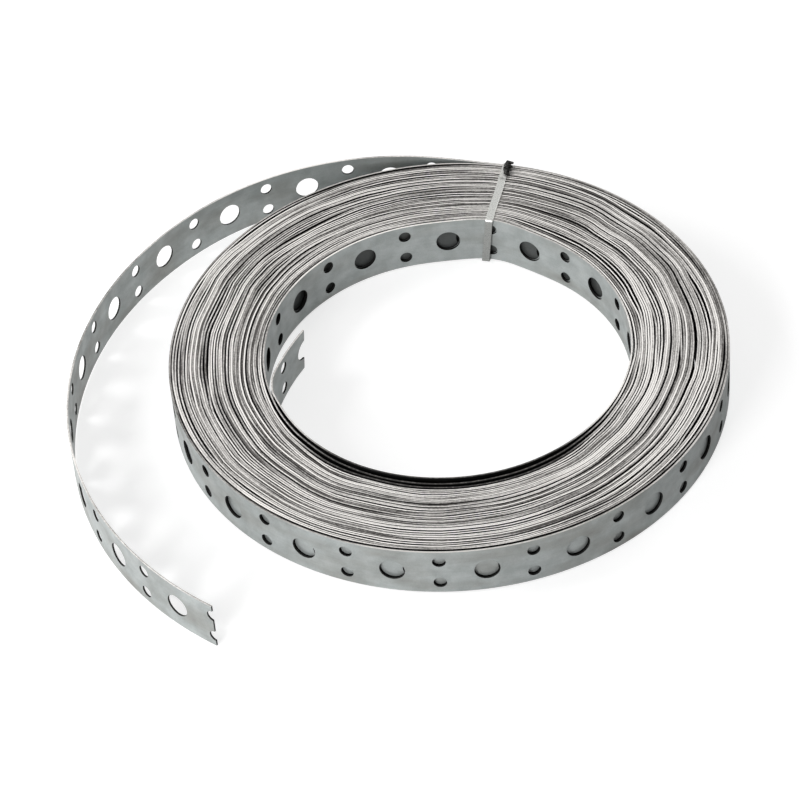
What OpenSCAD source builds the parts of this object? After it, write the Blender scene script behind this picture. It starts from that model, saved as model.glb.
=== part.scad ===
// Perforated steel strap, wound in a flat coil with one tie.
// Origin: on the coil's axis, at the floor. +Z is up, along the coil's axis.
// The strap is one strip: a sprung outer tail, forty turns, and a short inner tail.
// Going inward from the outer end, the strip winds clockwise as seen from above.
// The tight turns are one turned ring with a groove between each two on its ends.
// The outermost turn, the slack turns at the bore and both tails are real strip that
// runs out of that ring, and those that show are punched.

/* [Strap] */
// Width of the strip
strap_w = 20; // [12:0.5:40]
// Thickness of the strip
strap_t = 0.7; // [0.5:0.05:1.5]

/* [Punched holes] */
// Distance from one large hole to the next
hole_pitch = 33; // [25:0.1:60]
// Diameter of the large holes, on the strip's middle line
big_hole_d = 9; // [4:0.1:12]
// Diameter of the small holes, in pairs midway between the large ones
small_hole_d = 4.6; // [2:0.1:6]
// Distance between the two holes of a pair, across the strip
pair_gap = 10.3; // [8:0.1:16]

/* [Coil] */
// Radius of the outermost turn's outer face
coil_r = 102.1; // [80:0.1:160]
// Number of turns
turns = 40; // [12:1:50]
// Clear gap between tight turns
turn_gap = 0.13; // [0.1:0.01:0.4]
// Depth of the groove between two tight turns, on each end of the coil
groove_depth = 0.4; // [0.1:0.05:2]
// Clear gap inside the outermost turn, on the side away from the tie
outer_slack = 0.8; // [0.2:0.1:3]
// Number of slack turns at the bore
slack_turns = 3; // [2:1:6]
// Clear gap between the slack turns, on the side away from the tie
slack_gap = 1.2; // [0.2:0.05:2]

/* [Outer tail] */
// Length and radius of the nearly straight run just past the tie
spring_l = 25; // [10:0.5:60]
spring_r = 1500; // [300:10:5000]
// Length and radius of the bend after it
shoulder_l = 105; // [60:0.5:160]
shoulder_r = 107; // [90:0.5:150]
// Length and radius of the long sweep to the cut end
sweep_l = 230.5; // [100:0.5:260]
sweep_r = 129; // [110:0.5:180]

/* [Inner tail] */
// Radius of the bend where the innermost turn leaves the coil
kink_r = 20; // [10:0.5:40]
// Length and radius of the tail itself
inner_l = 23.5; // [10:0.5:35]
inner_r = 100; // [60:1:400]

/* [Tie] */
// Angle of the tie round the coil, from +X
tie_angle = 74; // [0:1:359]
// Width of the tie's flat wire
tie_w = 3; // [2:0.5:8]
// Thickness of the tie's flat wire
tie_t = 0.5; // [0.3:0.1:1]
// Clearance between the tie's legs and the strip's curved faces
tie_clear = 0.3; // [0.1:0.05:1]
// Radius of the tie's outside corners
tie_bend = 0.8; // [0.3:0.1:1.5]
// Length of the twisted ends, from the outer corner inward along the top
twist_l = 8; // [3:0.5:20]
// Turns of twist in them
twist_turns = 1.5; // [0.5:0.25:4]
// Clearance between the twisted ends and the strip's edges
twist_clear = 0.1; // [0.05:0.05:0.3]

/* [Hidden] */

big_r = big_hole_d / 2;
half_pitch = hole_pitch / 2;
mid_r = coil_r - strap_t / 2;
turn_pitch = strap_t + turn_gap;
tight_turns = turns - 1 - slack_turns;
cut_past = 3;

// The tie pulls the tight turns over to its side of the outermost turn.
pull = (outer_slack - turn_gap) / 2;
tight_r = coil_r - strap_t - (outer_slack + turn_gap) / 2;
bore_r = tight_r - tight_turns * turn_pitch + turn_gap;

// The strip runs out of the tight turns, so its root lies this deep inside them and
// stops halfway into the turn that it joins.
root_depth = 0.1;
outer_root_r = tight_r - strap_t / 2;
inner_root_r = bore_r + strap_t / 2;

// Angles of right triangles with whole sides. Their sines and cosines are short
// decimals, so arcs that meet there share their corners exactly.
leave_angle = 180 + atan2(527, 336);
kink_turn = atan2(3, 4);

function u(a) = [cos(a), sin(a)];

// An arc is [centre, radius, from angle, to angle], with the tie at angle 0.
// Each turn is two half turns whose centres lie on the line through the tie.
function half_turn(r_from, r_to, side) =
    [[side * (r_from - r_to) / 2, 0], (r_from + r_to) / 2];
function away_half(r_tied, r_free) = concat(half_turn(r_tied, r_free, 1), [0, -180]);
function back_half(r_free, r_tied) = concat(half_turn(r_free, r_tied, -1), [-180, -360]);

// Middle-line radius of slack turn j, counted inward from 1, where it starts at the tie,
// and where it is furthest from the tie.
function slack_tied(j) =
    bore_r + pull + strap_t / 2 + (j == 1 ? root_depth : -(j - 1) * turn_pitch);
function slack_free(j) = bore_r - pull + strap_t / 2 - j * (strap_t + slack_gap);
function slack_away(j) = away_half(slack_tied(j), slack_free(j));
function slack_back(j) = back_half(slack_free(j), slack_tied(j + 1));

// A tail is a list of steps, [length, radius], that run on smoothly from a turn.
function sweep(step) = step[0] / step[1] * 180 / PI;

// The steps as arcs, on from an arc about c, of radius r, at angle a. way is 1 or -1.
function run_on(c, r, a, steps, way, i = 0) =
    i == len(steps) ? [] :
    let (next_r = steps[i][1],
         next_c = c + (r - next_r) * u(a),
         next_a = a + way * sweep(steps[i]))
    concat([[next_c, next_r, a, next_a]], run_on(next_c, next_r, next_a, steps, way, i + 1));

function reversed(arcs) = [for (i = [len(arcs) - 1:-1:0]) [arcs[i][0], arcs[i][1], arcs[i][3], arcs[i][2]]];
function arc_l(arc) = abs(arc[3] - arc[2]) * arc[1] * PI / 180;
function start_l(arcs, i) = i == 0 ? 0 : start_l(arcs, i - 1) + arc_l(arcs[i - 1]);

// Outer tail, and the outermost turn: from the outer cut end inward.
outer_steps = [[spring_l, spring_r], [shoulder_l, shoulder_r], [sweep_l, sweep_r]];
outer_turn = [
    away_half(mid_r, mid_r),
    back_half(mid_r, tight_r + pull - strap_t / 2 - root_depth)
];
outer_run = concat(reversed(run_on([0, 0], mid_r, 0, outer_steps, 1)), outer_turn);

// Inner tail, and the last turn and a half: from the inner cut end outward.
inner_steps = [[kink_r * kink_turn * PI / 180, kink_r], [inner_l, inner_r]];
last_half = slack_back(slack_turns);
leaving = [last_half[0], last_half[1], -180, -leave_angle];
inner_run = reversed(concat(
    [slack_back(slack_turns - 1), slack_away(slack_turns), leaving],
    run_on(leaving[0], leaving[1], -leave_angle, inner_steps, -1)));

// A point of a run at length s from its start, as [centre, radius, angle].
function place(arcs, s, i = 0) =
    (i == len(arcs) - 1 || s <= arc_l(arcs[i]))
        ? [arcs[i][0], arcs[i][1], arcs[i][2] + sign(arcs[i][3] - arcs[i][2]) * s / arcs[i][1] * 180 / PI]
        : place(arcs, s - arc_l(arcs[i]), i + 1);

// Flat ring sector of the strip's thickness, of radius r, between two angles up to half a turn apart.
module sector(r, from, to) {
    low = min(from, to);
    high = max(from, to);
    far = 2 * r;
    intersection() {
        difference() {
            circle(r = r + strap_t / 2, $fn = 240);
            circle(r = r - strap_t / 2, $fn = 240);
        }
        rotate(low) translate([-far, 0]) square([2 * far, far]);
        if (high - low < 180) rotate(high) translate([-far, -far]) square([2 * far, far]);
    }
}

module half_sector(arc) translate(arc[0]) sector(arc[1], arc[2], arc[3]);

// Step n of a tail, each step drawn from where the one before it ends. The tail starts
// on the X axis at radius r.
module tail_step(r, steps, way, n, i = 0)
    translate([r - steps[i][1], 0])
        if (i == n) sector(steps[i][1], 0, way * sweep(steps[i]));
        else rotate(way * sweep(steps[i])) tail_step(steps[i][1], steps, way, n, i + 1);

// One hole through the strip, at a place, z above its lower edge.
module hole_cut(at, z, d)
    translate([at[0][0], at[0][1], z])
        rotate([0, 0, at[2]]) translate([at[1] - cut_past, 0, 0])
            rotate([0, 90, 0]) cylinder(d = d, h = 2 * cut_past, $fn = 32);

module pair_cut(at)
    for (side = [-1, 1]) hole_cut(at, (strap_w + side * pair_gap) / 2, small_hole_d);

// The flat child is arc i of a run. It is given its width, and the holes that reach it.
// Even half pitches from the run's start have a pair where pair_first is true, and a
// large hole otherwise.
module punched(arcs, i, pair_first) {
    s0 = start_l(arcs, i);
    s1 = s0 + arc_l(arcs[i]);
    first = max(0, ceil((s0 - big_r) / half_pitch));
    last = floor((s1 + big_r) / half_pitch);
    difference() {
        linear_extrude(strap_w) children();
        for (k = [first:last])
            if ((k % 2 == 0) == pair_first) pair_cut(place(arcs, k * half_pitch));
            else hole_cut(place(arcs, k * half_pitch), strap_w / 2, big_hole_d);
    }
}

// The tight turns, turned as one ring. A thin diamond cuts the groove at each end face.
module tight_coil()
    translate([pull, 0]) rotate_extrude($fn = 240) difference() {
        translate([bore_r, 0]) square([tight_r - bore_r, strap_w]);
        for (k = [1:tight_turns - 1], z = [0, strap_w])
            translate([tight_r - k * turn_pitch + turn_gap / 2, z])
                polygon([[turn_gap / 2, 0], [0, groove_depth], [-turn_gap / 2, 0], [0, -groove_depth]]);
    }

// Disc about the axis of the tight turns.
module tight_disc(r) translate([pull, 0]) circle(r = r, $fn = 240);

// The slack turns behind the innermost one, where no holes show.
module slack_strip()
    linear_extrude(strap_w) {
        intersection() {
            half_sector(slack_away(1));
            tight_disc(inner_root_r);
        }
        for (j = [2:slack_turns - 1]) half_sector(slack_away(j));
        for (j = [1:slack_turns - 2]) half_sector(slack_back(j));
    }

module perforated_strap()
    color([0.68, 0.70, 0.71]) translate([0, 0, tie_t]) rotate(tie_angle) {
        tight_coil();
        slack_strip();
        outer_n = len(outer_steps);
        for (i = [0:outer_n - 1])
            punched(outer_run, i, true) tail_step(mid_r, outer_steps, 1, outer_n - 1 - i);
        punched(outer_run, outer_n, true) half_sector(outer_turn[0]);
        punched(outer_run, outer_n + 1, true) difference() {
            half_sector(outer_turn[1]);
            tight_disc(outer_root_r);
        }
        inner_n = len(inner_steps);
        for (i = [0:inner_n - 1])
            punched(inner_run, i, false)
                translate(leaving[0]) rotate(-leave_angle)
                    tail_step(leaving[1], inner_steps, -1, inner_n - 1 - i);
        for (i = [inner_n:inner_n + 2]) punched(inner_run, i, false) half_sector(inner_run[i]);
    }

// Rounded rectangle from corner lo to corner hi.
module rounded(lo, hi, r)
    translate(lo) {
        translate([r, 0]) square([hi[0] - lo[0] - 2 * r, hi[1] - lo[1]]);
        translate([0, r]) square([hi[0] - lo[0], hi[1] - lo[1] - 2 * r]);
        for (x = [r, hi[0] - lo[0] - r], y = [r, hi[1] - lo[1] - r]) translate([x, y]) circle(r = r, $fn = 32);
    }

// Both ends of the wire, laid together, twisted and pressed down along the tie's top run.
module twisted_ends(outer_x) {
    reach = norm([tie_w / 2, tie_t]);
    translate([outer_x - twist_l, 0, tie_t + strap_w + twist_clear + reach])
        rotate([0, 90, 0])
            linear_extrude(twist_l, twist = 360 * twist_turns, slices = ceil(30 * twist_turns))
                square([tie_w, 2 * tie_t], center = true);
}

// Flat wire bent round the coil's section.
module binding_tie() {
    in_lo = [slack_tied(slack_turns) - strap_t / 2 - tie_clear, tie_t];
    in_hi = [coil_r + tie_clear, tie_t + strap_w];
    wall = [tie_t, tie_t];
    color([0.62, 0.63, 0.64]) rotate(tie_angle) {
        translate([0, tie_w / 2, 0]) rotate([90, 0, 0]) linear_extrude(tie_w) difference() {
            rounded(in_lo - wall, in_hi + wall, tie_bend);
            translate(in_lo) square(in_hi - in_lo);
        }
        twisted_ends(in_hi[0] + tie_t);
    }
}

perforated_strap();
binding_tie();
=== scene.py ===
"""Looks of a flat coil of galvanised perforated strap, held by one flat steel tie."""

import logging
import math
from dataclasses import dataclass, field
from enum import Enum

import bpy
import numpy as np
from mathutils import Matrix, Vector


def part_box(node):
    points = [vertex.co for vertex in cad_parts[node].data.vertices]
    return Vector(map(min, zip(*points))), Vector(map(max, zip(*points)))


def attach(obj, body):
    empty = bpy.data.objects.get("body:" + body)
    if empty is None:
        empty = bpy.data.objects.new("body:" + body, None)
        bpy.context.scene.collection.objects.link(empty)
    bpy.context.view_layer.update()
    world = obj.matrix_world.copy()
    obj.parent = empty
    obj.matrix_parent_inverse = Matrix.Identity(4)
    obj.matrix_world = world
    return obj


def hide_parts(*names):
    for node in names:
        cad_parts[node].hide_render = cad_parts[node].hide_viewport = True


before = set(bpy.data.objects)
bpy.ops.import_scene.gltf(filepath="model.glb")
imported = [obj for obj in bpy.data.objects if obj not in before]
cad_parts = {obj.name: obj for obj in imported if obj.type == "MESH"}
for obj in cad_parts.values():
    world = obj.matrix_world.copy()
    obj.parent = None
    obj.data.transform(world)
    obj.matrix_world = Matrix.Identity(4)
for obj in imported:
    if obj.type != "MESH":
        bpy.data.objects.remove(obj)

LOG = logging.getLogger("strap_coil")
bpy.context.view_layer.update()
MM = 0.001
TURN = 360.0
# points of the flat pattern are one point where they agree to this fineness
PER_MM = 1e4

Span = tuple[float, float]
Triple = tuple[float, float, float]
Faces = list[list[int]]
Shape = tuple[np.ndarray, Faces]

# nearly all of a noise pattern lies between these values
NOISE_SPAN: Span = (0.3, 0.7)


# ---------------------------------------------------------------- helpers


def linear(hex_colour: str) -> tuple[float, float, float, float]:
    """Turn an sRGB hex colour into a linear one.

    Args:
        hex_colour: Six hex digits, such as "a0b0c0".

    Returns:
        Linear red, green and blue, and an alpha of 1.
    """
    parts = [int(hex_colour[i : i + 2], 16) / 255 for i in (0, 2, 4)]
    flat = [p / 12.92 if p <= 0.04045 else ((p + 0.055) / 1.055) ** 2.4 for p in parts]
    return (flat[0], flat[1], flat[2], 1.0)


def smooth_noise(rng: np.random.Generator, count: int, spread: float) -> np.ndarray:
    """Make closed smooth noise, whose last sample runs on into its first.

    Args:
        rng: Seeded source of random numbers.
        count: Number of samples.
        spread: Width of the smoothing, in samples.

    Returns:
        Noise of mean 0 and deviation 1.
    """
    wave = np.fft.rfft(rng.standard_normal(count))
    turns = np.fft.rfftfreq(count)
    wave *= np.exp(-2 * (math.pi * turns * spread) ** 2)
    wave[0] = 0
    noise = np.fft.irfft(wave, count)
    return noise / noise.std()


def smoothstep(x: np.ndarray) -> np.ndarray:
    """Rise from 0 to 1 as x goes from 0 to 1, level at both ends."""
    x = np.clip(x, 0, 1)
    return x * x * (3 - 2 * x)


def hump(x: np.ndarray, middle: float, spread: float) -> np.ndarray:
    """Bell curve that is 1 at the middle and falls to 0.37 at the spread."""
    return np.exp(-(((x - middle) / spread) ** 2))


def plan_unit(angle: np.ndarray | float) -> np.ndarray:
    """Unit vector in plan at an angle in degrees, as an array of one more dimension."""
    a = np.radians(angle)
    return np.stack([np.cos(a), np.sin(a)], axis=-1)


def turned(points: np.ndarray, angle: float) -> np.ndarray:
    """Turn points about the coil's axis.

    Args:
        points: Points in plan, with or without a height.
        angle: Angle in degrees, anticlockwise as seen from above.

    Returns:
        The turned points.
    """
    c, s = plan_unit(angle)
    spin = np.eye(points.shape[1])
    spin[:2, :2] = [[c, s], [-s, c]]
    return points @ spin


def from_tie(turn: np.ndarray) -> np.ndarray:
    """Angle from the tie where the strip last or next passes it, in degrees."""
    return (turn + TURN / 2) % TURN - TURN / 2


# ---------------------------------------------------------------- sizes


@dataclass(frozen=True)
class StripSize:
    """Section and punching of the strip, in mm."""

    width: float = 20.0
    thickness: float = 0.7
    pitch: float = 33.0
    big_radius: float = 4.5
    small_radius: float = 2.3
    pair_gap: float = 10.3
    chamfer: float = 0.07
    corner: float = 0.11

    @property
    def half_pitch(self) -> float:
        """Length of one cell of the pattern, with a large hole or a pair."""
        return self.pitch / 2


@dataclass(frozen=True)
class CoilSize:
    """How the strip is wound, in mm and degrees.

    Turn angles are counted clockwise from the tie, as seen from above. Each tail is a row of
    arcs, each with its length and radius.
    """

    outer_radius: float = 102.08
    turns: int = 40
    tie_angle: float = 74.0
    outer_tail: tuple[Span, ...] = ((25, 1500), (105, 106.97), (230.5, 129))
    inner_tail: tuple[Span, ...] = ((12.87, 20), (23.5, 100))
    tail_lean: float = 0.8
    # the innermost turn leaves the bore's wall here, which eases over before and after
    leave_at: float = 237.48
    leave_ease: Span = (45.0, 30.0)
    # the bore's wall is off the coil's axis, and drawn outward where the tie passes
    bore_radius: float = 66.75
    bore_shift: float = 0.6
    bore_shift_to: float = 120.0
    tie_pull: float = 2.5
    tie_pull_spread: float = 11.0
    tie_hold: float = 9.0
    # the outermost turn stands off by its slack, and turns in over the rest of the way
    outer_slack: float = 0.68
    drop_from: float = 0.6
    # every other turn of the next few is loose near one angle
    loose_rows: tuple[int, int, int] = (1, 9, 2)
    loose_outer: float = 1.6
    loose_at: float = 60.0
    loose_spread: float = 60.0
    # the last turns stand apart round one angle and sag there, and their edges get painted shade
    bore_slack: tuple[float, ...] = (0.5, 1.2, 1.7)
    bore_sag: tuple[float, ...] = (0.15, 0.35, 0.45)
    bulge_at: Span = (167.0, 52.0)
    bulge_ease: float = 60.0
    shaded_from: Span = (0.25, 0.65)
    # tight turns touch where a slow wave is low, and shade is painted in the gap where it is high
    gap_run: float = 20.0
    gap_waves: Span = (0.85, 0.5)
    gap_spread: float = 0.35
    closed_share: float = 0.04
    open_above: float = 0.3
    open_blend: float = 0.16
    gap_shade_above: Span = (-0.5, 0.05)
    # painted light and shade: edges darker at the front and back of the coil than at its sides,
    # where they would catch the lamps
    front_back_shade: float = 0.8
    gap_shade_least: float = 0.4
    # more painted shade in the open gaps beside the loose outermost and innermost turns
    loose_gap_shade: float = 1.5
    # edges lie a little above and below each other
    edge_scatter: float = 0.13
    edge_run: float = 35.0
    edge_limit: float = 0.3
    sag_limit: float = 0.45

    @property
    def last_turn(self) -> float:
        """Angle from the start of the coil to where the innermost turn leaves the bore."""
        return (self.turns - 1) * TURN + self.leave_at


# ---------------------------------------------------------------- the strip's route


@dataclass
class Route:
    """The strip's middle line in plan, from the outer cut end to the inner one.

    The arrays have one value for each sample, in mm and degrees. Only the painted shade in the
    gaps is kept by angle, one value for each gap_step degrees from the start of the first gap.
    """

    plan: np.ndarray
    lift: np.ndarray
    lean: np.ndarray
    dull: np.ndarray
    turn_at: np.ndarray
    gap_shade_samples: np.ndarray
    gap_step: float
    length: np.ndarray = field(init=False)
    normal: np.ndarray = field(init=False)

    def __post_init__(self) -> None:
        """Work out the length along the line and the outward normal."""
        step = np.diff(self.plan, axis=0)
        self.length = np.concatenate([[0], np.cumsum(np.hypot(*step.T))])
        along = np.gradient(self.plan, self.length, axis=0)
        along /= np.hypot(*along.T)[:, None]
        self.normal = np.stack([-along[:, 1], along[:, 0]], axis=1)

    @property
    def total(self) -> float:
        """Length of the whole strip."""
        return float(self.length[-1])

    def at(self, s: np.ndarray, values: np.ndarray) -> np.ndarray:
        """Read one of the arrays between its samples.

        Args:
            s: Lengths along the strip.
            values: One column of values, or two.

        Returns:
            The values at those lengths.
        """
        if values.ndim == 1:
            return np.interp(s, self.length, values)
        return np.stack([np.interp(s, self.length, column) for column in values.T], axis=1)

    def gap_shade_beside(self, s: np.ndarray, side: np.ndarray) -> np.ndarray:
        """Read the painted shade in the gap beside the strip.

        Args:
            s: Lengths along the strip.
            side: 1 for the gap outside the strip there, -1 for the one inside it.

        Returns:
            Painted shade in that gap, from 0 to 1.
        """
        turn = self.at(s, self.turn_at) - np.where(side > 0, TURN, 0)
        known = np.arange(len(self.gap_shade_samples)) * self.gap_step
        return np.interp(turn, known, self.gap_shade_samples, left=0.0, right=0.0)

    def length_at_turn(self, turn: np.ndarray | float) -> np.ndarray:
        """Lengths at which the strip has gone round so many degrees from the tie."""
        return np.interp(turn, self.turn_at, self.length)


@dataclass
class Winding:
    """Works out where the strip lies, turn by turn."""

    strip: StripSize
    coil: CoilSize
    rng: np.random.Generator
    samples: int = 720
    tail_step: float = 0.4

    def run_on(
        self, start: np.ndarray, heading: float, arcs: tuple[Span, ...], way: int
    ) -> np.ndarray:
        """Follow arcs from a point.

        Args:
            start: Where the first arc begins, in plan.
            heading: Direction of travel there, in degrees.
            arcs: Length and radius of each arc.
            way: 1 to bend to the left, -1 to the right.

        Returns:
            The points after start.
        """
        points = [start]
        for length, radius in arcs:
            count = math.ceil(length / self.tail_step)
            bend = way * math.degrees(length / radius) / count
            chord = 2 * radius * math.sin(math.radians(abs(bend)) / 2)
            for _ in range(count):
                heading += bend / 2
                points.append(points[-1] + chord * plan_unit(heading))
                heading += bend / 2
        return np.array(points[1:])

    def gap_weights(self, gaps: int) -> tuple[np.ndarray, np.ndarray]:
        """Share the room out unevenly between the gaps.

        Neighbouring turns touch over long stretches and stand open over others, and shade is
        painted in the gap where they part.

        Args:
            gaps: Number of gaps between turns.

        Returns:
            The share of each gap, as rows of turns and columns of angle, and the painted shade in
            the gap at each sample, from 0 to 1.
        """
        c = self.coil
        n = gaps * self.samples
        spread = c.gap_run / TURN * self.samples
        slow, quick = c.gap_waves
        wave = slow * smooth_noise(self.rng, n, spread)
        wave = wave + quick * smooth_noise(self.rng, n, spread / 4)
        width = np.exp(c.gap_spread * smooth_noise(self.rng, n, spread))
        share = c.closed_share + width / (1 + np.exp((c.open_above - wave) / c.open_blend))
        closed = np.append(share, share[0])
        rows = [closed[k * self.samples : (k + 1) * self.samples + 1] for k in range(gaps)]
        turn = np.arange(n) * TURN / self.samples
        # painted light and shade: darker at the front and back of the coil, lighter at its sides
        wave = wave + c.front_back_shade * np.cos(np.radians(2 * (turn + 90 - c.tie_angle)))
        # more painted shade in the gaps beside the outermost and innermost turns, which stand open
        wave = wave + c.loose_gap_shade * (turn < TURN) * np.sin(np.radians(turn / 2)) ** 2
        wave = wave + c.loose_gap_shade * (turn > (gaps - 2) * TURN + c.leave_at)
        low, high = c.gap_shade_above
        oil = smoothstep((wave - low) / (high - low))
        return np.stack(rows), c.gap_shade_least + (1 - c.gap_shade_least) * oil

    def bulge(self, turn: np.ndarray) -> np.ndarray:
        """How far slack turns stand apart.

        Args:
            turn: Angles from the tie, each within one turn.

        Returns:
            Share of their slack that is open there, from 0 to 1.
        """
        ease = self.coil.bulge_ease
        ends = smoothstep(turn / ease) * smoothstep((TURN - turn) / ease)
        return hump(turn, *self.coil.bulge_at) * ends

    def bore_line(self, turn: np.ndarray) -> np.ndarray:
        """Find the bore's wall.

        Args:
            turn: Angles from the tie.

        Returns:
            Radius of the wall's middle line there.
        """
        c = self.coil
        pulled = c.tie_pull * hump(from_tie(turn), 0.0, c.tie_pull_spread)
        wave = c.bore_shift * np.cos(np.radians(c.tie_angle - turn - c.bore_shift_to))
        return c.bore_radius + self.strip.thickness / 2 + wave + pulled

    def radii(self) -> tuple[np.ndarray, np.ndarray]:
        """Find the middle-line radius of every turn.

        The innermost turn ends part of the way round. From there on the wall of the bore is
        the turn before it.

        Returns:
            The radii, as rows of turns and columns of angle, and the painted shade in the gaps.
        """
        c = self.coil
        t = self.strip.thickness
        gaps = c.turns - 1
        turn = np.linspace(0, TURN, self.samples + 1)
        share, oil = self.gap_weights(gaps)
        share[slice(*c.loose_rows)] *= 1 + c.loose_outer * hump(turn, c.loose_at, c.loose_spread)
        share /= share.sum(axis=0)
        extra = np.zeros_like(share)
        extra[0] = c.outer_slack * np.sin(np.radians(turn / 2)) ** 2
        extra[-len(c.bore_slack) :] = np.array(c.bore_slack)[:, None] * self.bulge(turn)
        start = c.outer_radius - t / 2
        wall = self.bore_line(turn)
        drop = t + (start - wall[0] - gaps * t) * share[0, 0]
        outer = start - drop * smoothstep((turn / TURN - c.drop_from) / (1 - c.drop_from))
        ended = smoothstep((turn - c.leave_at + c.leave_ease[0]) / sum(c.leave_ease))
        room = outer - wall + ended * (t + extra[-1]) - gaps * t - extra.sum(axis=0)
        steps = t + room / (1 - ended * share[-1]) * share + extra
        return outer - np.pad(np.cumsum(steps, axis=0), ((1, 0), (0, 0))), oil

    def route(self) -> Route:
        """Lay the whole strip: outer tail, turns and inner tail.

        Returns:
            The strip's route.
        """
        c = self.coil
        radii, oil = self.radii()
        radius = np.append(radii[:, :-1], radii[-1, -1])
        turn = np.arange(len(radius)) * TURN / self.samples
        keep = turn <= c.last_turn
        radius, turn = radius[keep], turn[keep]
        coil = radius[:, None] * plan_unit(-turn)
        outer = self.run_on(coil[0], 90.0, c.outer_tail, 1)[::-1]
        ahead = coil[-1] - coil[-2]
        heading = math.degrees(math.atan2(ahead[1], ahead[0]))
        inner = self.run_on(coil[-1], heading, c.inner_tail, -1)
        level = smooth_noise(self.rng, len(turn), c.edge_run / TURN * self.samples)
        free = 1 - hump(from_tie(turn), 0.0, c.tie_hold)
        ease = smoothstep(turn / TURN) * smoothstep((c.last_turn - turn) / TURN)
        bulge = self.bulge(turn % TURN)
        sags = np.pad(c.bore_sag, (c.turns - len(c.bore_sag), 0))
        sag = sags[(turn // TURN).astype(int)]
        scatter = np.clip(c.edge_scatter * level, -c.edge_limit, c.edge_limit)
        lift = np.clip(scatter * free - sag * bulge, -c.sag_limit, c.edge_limit) * ease
        low, high = c.shaded_from
        # painted shade on the edges of the slack turns, where they stand apart
        dull = (sag > 0) * smoothstep((bulge - low) / (high - low))
        lean = c.tail_lean * smoothstep(np.linspace(0, 1, len(inner)))
        tails = (len(outer), len(inner))
        before = -np.arange(len(outer), 0, -1.0)
        after = c.last_turn + np.arange(1, len(inner) + 1)
        return Route(
            plan=turned(np.concatenate([outer, coil, inner]), c.tie_angle),
            lift=np.pad(lift, tails),
            lean=np.pad(lean, (len(outer) + len(coil), 0)),
            dull=np.pad(dull, tails),
            turn_at=np.concatenate([before, turn, after]),
            gap_shade_samples=oil,
            gap_step=TURN / self.samples,
        )


# ---------------------------------------------------------------- the punched pattern


class Surface(Enum):
    """The strip's kinds of surface, in the order of its material slots."""

    ROLLED = 0
    SHEARED = 1
    PUNCHED = 2
    CORNER = 3


@dataclass
class FlatPattern:
    """Faces of the strip laid flat. A point is (s, h): length along it and height, in mm."""

    points: list[Span] = field(default_factory=list)
    faces: Faces = field(default_factory=list)
    known: dict[tuple[int, int], int] = field(default_factory=dict)

    def point(self, s: float, h: float) -> int:
        """Find a point, or make it if it isn't there yet.

        Args:
            s: Length along the strip.
            h: Height above its lower edge.

        Returns:
            The point's number.
        """
        key = (round(s * PER_MM), round(h * PER_MM))
        if key not in self.known:
            self.known[key] = len(self.points)
            self.points.append((s, h))
        return self.known[key]

    def holed(
        self,
        centre: Span,
        radius: float,
        box: tuple[float, float, float, float],
        steps: tuple[int, int],
        keep: Span,
    ) -> None:
        """Fill a box round one hole with rings of quads.

        Args:
            centre: The hole's centre.
            radius: The hole's radius.
            box: Lowest and highest s, then lowest and highest h.
            steps: Number of edges along the box and up its sides.
            keep: Lowest and highest s of the faces to keep.
        """
        s0, s1, h0, h1 = box
        along, up = steps
        side = np.linspace(0, 1, up + 1)[:-1]
        top = np.linspace(0, 1, along + 1)[:-1]
        rim = (
            [(s1, h0 + (h1 - h0) * x) for x in side]
            + [(s1 + (s0 - s1) * x, h1) for x in top]
            + [(s0, h1 + (h0 - h1) * x) for x in side]
            + [(s0 + (s1 - s0) * x, h0) for x in top]
        )
        count = len(rim)
        angle = (np.arange(count) - up / 2) * TURN / count
        circle = np.array(centre) + radius * plan_unit(angle)
        rings = [circle + (np.array(rim) - circle) * f for f in (0.0, 0.4, 1.0)]
        index = [[self.point(s, h) for s, h in ring] for ring in rings]
        low, high = keep[0] - 1 / PER_MM, keep[1] + 1 / PER_MM
        for inner, outer in zip(index, index[1:]):
            for i in range(count):
                j = (i + 1) % count
                quad = [inner[i], outer[i], outer[j], inner[j]]
                if all(low <= self.points[q][0] <= high for q in quad):
                    self.faces.append(quad)

    def edges(self) -> np.ndarray:
        """Find the free edges.

        Returns:
            Directed edges that only one face has, with the material on their left.
        """
        seen = {pair: None for face in self.faces for pair in zip(face, face[1:] + face[:1])}
        return np.array([(a, b) for a, b in seen if (b, a) not in seen])


@dataclass
class WoundMesh:
    """Closed mesh of the wound strip.

    Points are in mm and kinds are slots of Surface. The first faces, as many as broad says,
    are the strip's two broad faces. Place is each point in the flat strip (s, h and depth),
    and normal points outward in plan. Marks are numbers at each point: wound where a turn
    covers it; the painted shade of a face that another turn lies on, by how deep it lies;
    over by where it lies along the covering turn; the painted shade in the gap beside it;
    and dull where the edge is darker: painted shade on the slack turns, and a darker tone on
    the outermost turn.
    """

    points: np.ndarray
    faces: Faces
    kinds: list[int]
    broad: int
    place: np.ndarray
    normal: np.ndarray
    marks: dict[str, np.ndarray]


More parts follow.
